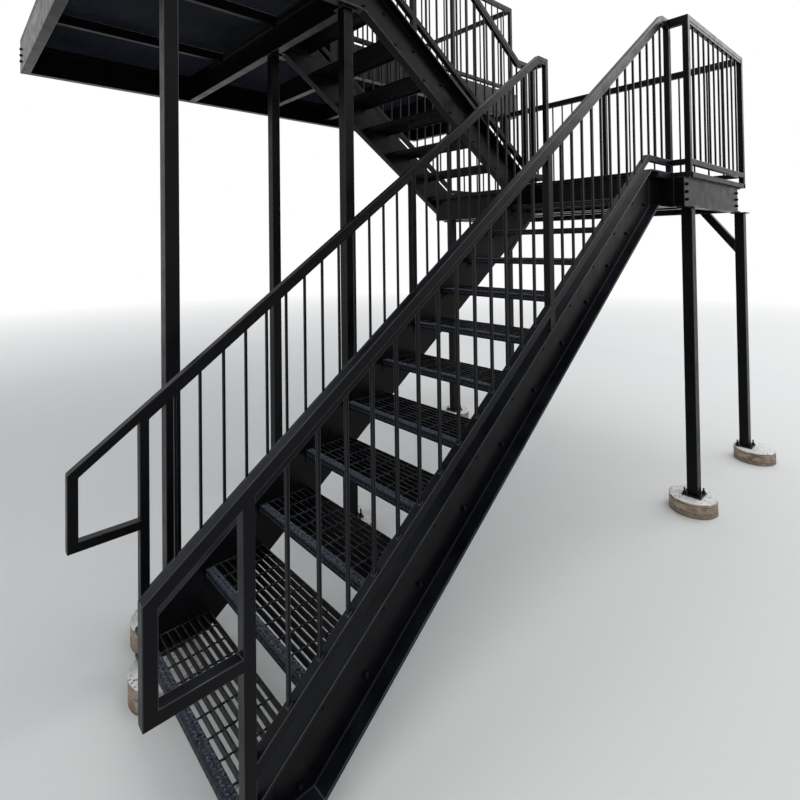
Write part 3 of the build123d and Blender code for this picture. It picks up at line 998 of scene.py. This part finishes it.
def form_tube_rings(centre, reach, top, number, seed):
    """Rings of a form tube from the ground up to its torn rim, and whether each point is in the seam."""
    rings = []
    seamed = []
    for row in range(tube_rows + 1):
        ring = []
        for angle, out in pier_directions():
            tear = rim_tear * max(0, noise.noise(out * tear_noise + seed) - tear_start)
            rim = rim_wear * noise.noise(out * wear_noise + seed) - rim_wear - tear
            z = (top + rim) * row / tube_rows
            phase = (z / seam_pitch + angle / (2 * math.pi) + number * seam_shift) % 1.0
            in_seam = min(phase, 1 - phase) * seam_pitch < seam_width / 2
            above = Vector((0, 0, z * wobble_noise_up))
            wobble = tube_wobble * noise.noise(out * wobble_noise + seed + above)
            radius = reach - tube_inset + wobble - (seam_depth if in_seam else 0)
            ring.append((centre.x + out.x * radius, centre.y + out.y * radius, z))
            seamed.append(in_seam)
        rings.append(ring)
    return rings, seamed


def pier_top_rings(centre, reach, top, seed):
    """Rings of a pier's rough top, from its rim to its middle."""
    rings = []
    for step in range(1, top_rings + 1):
        radius = (reach - top_inset) * (1 - step / top_rings * top_close)
        level = top - rim_step if step == 1 else top
        ring = []
        for _, out in pier_directions():
            # From -1 to 0, so that the top never rises past the solid's
            rough = (noise.noise(out * radius * top_noise + seed) - 1) / 2
            z = level + top_roughness * rough
            ring.append((centre.x + out.x * radius, centre.y + out.y * radius, z))
        rings.append(ring)
    return rings


def make_piers():
    """Rough topped piers in spiral wound form tubes with torn rims."""
    shape = Shape()
    for number, (low, high) in enumerate(solids("concrete_piers")):
        centre = (low + high) / 2
        reach = (high.x - low.x) / 2
        seed = Vector((number * pier_noise_x, number * pier_noise_y, 0))
        rings, seamed = form_tube_rings(centre, reach, high.z, number, seed)
        first = len(shape.faces)
        shape.loft(rings + pier_top_rings(centre, reach, high.z, seed))
        for row in range(tube_rows):
            for index in range(pier_sides):
                near = row * pier_sides + index
                beside = row * pier_sides + (index + 1) % pier_sides
                shape.slots[first + near] = seam_slot if seamed[near] and seamed[beside] else tube_slot
    materials = (make_pier_top(), make_form_tube(), make_tube_seam())
    thing = shape.piece("rough_piers", materials, "pier_concrete", ("concrete_piers",))
    for polygon in thing.data.polygons:
        polygon.use_smooth = True


def flat_faces():
    """A node group that shades every face flat, whatever normals the mesh came with."""
    group = bpy.data.node_groups.new("flat_faces", "GeometryNodeTree")
    group.interface.new_socket("Geometry", in_out="INPUT", socket_type="NodeSocketGeometry")
    group.interface.new_socket("Geometry", in_out="OUTPUT", socket_type="NodeSocketGeometry")
    entry = group.nodes.new("NodeGroupInput")
    result = group.nodes.new("NodeGroupOutput")
    drop = group.nodes.new("GeometryNodeRemoveAttribute")
    drop.inputs["Name"].default_value = "custom_normal"
    shade = group.nodes.new("GeometryNodeSetShadeSmooth")
    shade.inputs["Shade Smooth"].default_value = False
    group.links.new(entry.outputs[0], drop.inputs["Geometry"])
    group.links.new(drop.outputs["Geometry"], shade.inputs["Geometry"])
    group.links.new(shade.outputs["Geometry"], result.inputs[0])
    return group


def dress_steel():
    """Rounds the edges of the CAD steel that stays, and paints it."""
    group = flat_faces()
    for name, node in frame["nodes"].items():
        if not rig.alive(node) or node.hide_render:
            continue
        node.data.materials.clear()
        node.data.materials.append(black_paint)
        node.data.materials.append(worn_and_highlit_edge_paint)
        weld = node.modifiers.new("weld", "WELD")
        weld.merge_threshold = weld_gap
        flat = node.modifiers.new("flat", "DECIMATE")
        flat.decimate_type = "DISSOLVE"
        flat.angle_limit = flat_angle
        edges = node.modifiers.new("edges", "BEVEL")
        edges.width = guard_edge if "guard" in name else steel_edge
        edges.use_clamp_overlap = "guard" not in name
        edges.segments = 2
        # The rounded edges take the lighter edge paint: worn paint, and a painted highlight along every corner.
        edges.material = edge_slot
        edges.limit_method = "ANGLE"
        edges.angle_limit = edge_angle
        crisp = node.modifiers.new("crisp", "NODES")
        crisp.node_group = group


def seen_rays(nodes, links):
    """1 for the rays that should meet a white background: the camera's, and those in mirrors and glass."""
    path = nodes.new("ShaderNodeLightPath")
    seen = path.outputs["Is Camera Ray"]
    for kind in ("Is Glossy Ray", "Is Transmission Ray"):
        either = nodes.new("ShaderNodeMath")
        either.operation = "MAXIMUM"
        links.new(seen, either.inputs[0])
        links.new(path.outputs[kind], either.inputs[1])
        seen = either.outputs[0]
    return seen


def make_floor():
    """A pale floor that fades into the white background."""
    mesh = bpy.data.meshes.new("floor")
    reach = floor_reach
    corners = [(-reach, -reach, 0), (reach, -reach, 0), (reach, reach, 0), (-reach, reach, 0)]
    mesh.from_pydata(corners, [], [(0, 1, 2, 3)])
    floor = bpy.data.objects.new("floor", mesh)
    bpy.context.scene.collection.objects.link(floor)
    paint = Material("floor_paint", roughness=0.85)
    paint.shader.inputs["Base Color"].default_value = (*floor_colour, 1)
    glow = paint.nodes.new("ShaderNodeEmission")
    length = paint.nodes.new("ShaderNodeVectorMath")
    length.operation = "LENGTH"
    paint.links.new(paint.place, length.inputs[0])
    far = paint.remap(length.outputs["Value"], *floor_fade)
    seen = paint.times(far, seen_rays(paint.nodes, paint.links))
    mix = paint.nodes.new("ShaderNodeMixShader")
    paint.links.new(seen, mix.inputs[0])
    paint.links.new(paint.shader.outputs[0], mix.inputs[1])
    paint.links.new(glow.outputs[0], mix.inputs[2])
    paint.links.new(mix.outputs[0], paint.nodes["Material Output"].inputs["Surface"])
    mesh.materials.append(paint.data)
    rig.stage(floor)


def make_sky():
    """A white background, and soft light that grows stronger overhead."""
    world = bpy.data.worlds.new("sky")
    bpy.context.scene.world = world
    world.use_nodes = True
    nodes = world.node_tree.nodes
    links = world.node_tree.links
    nodes.clear()
    output = nodes.new("ShaderNodeOutputWorld")
    seen = nodes.new("ShaderNodeBackground")
    light = nodes.new("ShaderNodeBackground")
    mix = nodes.new("ShaderNodeMixShader")
    place = nodes.new("ShaderNodeTexCoord")
    split = nodes.new("ShaderNodeSeparateXYZ")
    lift = nodes.new("ShaderNodeMapRange")
    links.new(place.outputs["Generated"], split.inputs[0])
    links.new(split.outputs["Z"], lift.inputs["Value"])
    lift.inputs["From Min"].default_value = 0
    lift.inputs["From Max"].default_value = sky_full_height
    lift.inputs["To Min"].default_value = sky_strength[0]
    lift.inputs["To Max"].default_value = sky_strength[1]
    links.new(lift.outputs["Result"], light.inputs["Strength"])
    light.inputs["Color"].default_value = (*sky_colour, 1)
    seen.inputs["Color"].default_value = (1, 1, 1, 1)
    seen.inputs["Strength"].default_value = 1
    links.new(seen_rays(nodes, links), mix.inputs[0])
    links.new(light.outputs[0], mix.inputs[1])
    links.new(seen.outputs[0], mix.inputs[2])
    links.new(mix.outputs[0], output.inputs[0])


def make_lamps():
    """Soft square lamps, turned to the middle of the stair."""
    for name, place, size, power, colour in lamps:
        data = bpy.data.lights.new(name, "AREA")
        data.shape = "SQUARE"
        data.size = size
        data.energy = power
        data.color = colour
        lamp = bpy.data.objects.new(name, data)
        bpy.context.scene.collection.objects.link(lamp)
        lamp.location = place
        aim = lamp_target - Vector(place)
        lamp.rotation_euler = aim.to_track_quat("-Z", "Y").to_euler()


make_camera()
make_floor()
make_sky()
make_lamps()
black_paint = painted_steel(
    "black_paint",
    deep=(0.0014, 0.0015, 0.0020),
    pale=(0.0036, 0.0038, 0.0048),
    dust_and_sky_sheen=(0.013, 0.017, 0.027),
    dust_and_sky_sheen_amount=0.45,
    dust_and_sky_sheen_grain=7,
    roughness=0.32,
)
# Lighter paint of the rounded edges: partly worn, partly a painted highlight where the corners catch the sky.
worn_and_highlit_edge_paint = painted_steel(
    "worn_and_highlit_edge_paint",
    deep=(0.0045, 0.0048, 0.0058),
    pale=(0.0180, 0.0190, 0.0220),
    dust_and_sky_sheen=(0.085, 0.090, 0.102),
    dust_and_sky_sheen_amount=0.65,
    dust_and_sky_sheen_grain=12,
    roughness=0.26,
    ior=edge_ior,
)
grating_paint = painted_steel(
    "grating_paint",
    deep=(0.0016, 0.0016, 0.0019),
    pale=(0.0042, 0.0043, 0.0049),
    dust_and_sky_sheen=(0.070, 0.073, 0.082),
    dust_and_sky_sheen_amount=0.60,
    dust_and_sky_sheen_grain=24,
    roughness=0.36,
)
deck_paint = painted_steel(
    "deck_paint",
    deep=(0.0075, 0.0090, 0.0140),
    pale=(0.0150, 0.0180, 0.0270),
    dust_and_sky_sheen=(0.070, 0.073, 0.082),
    dust_and_sky_sheen_amount=0.60,
    dust_and_sky_sheen_grain=24,
    roughness=0.36,
)
nosing_paint = painted_steel(
    "nosing_paint",
    deep=(0.0036, 0.0046, 0.0075),
    pale=(0.0075, 0.0094, 0.0145),
    dust_and_sky_sheen=(0.048, 0.058, 0.076),
    dust_and_sky_sheen_amount=0.70,
    dust_and_sky_sheen_grain=75,
    roughness=0.38,
)
# The ridges are painted much lighter and bluer than the rest: a painted highlight on their raised tops.
ridge_highlight_paint = painted_steel(
    "ridge_highlight_paint",
    deep=(0.014, 0.016, 0.022),
    pale=(0.040, 0.046, 0.060),
    dust_and_sky_sheen=(0.135, 0.150, 0.175),
    dust_and_sky_sheen_amount=0.70,
    dust_and_sky_sheen_grain=60,
    roughness=0.34,
)
make_treads("lower_grating_treads", "lower_treads", 1)
make_treads("upper_grating_treads", "upper_treads", -1)
make_landing()
make_platform()
make_gallery()
make_tread_bolts()
make_frame_bolts()
make_end_plates()
make_anchors()
make_ledger_anchors()
make_piers()
dress_steel()

bpy.context.scene.view_settings.view_transform = "Standard"
new_low, new_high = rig.bounds()
with open("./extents.json", "w") as file:
    json.dump({"cad": [list(cad_low), list(cad_high)], "visual": [list(new_low), list(new_high)]}, file)
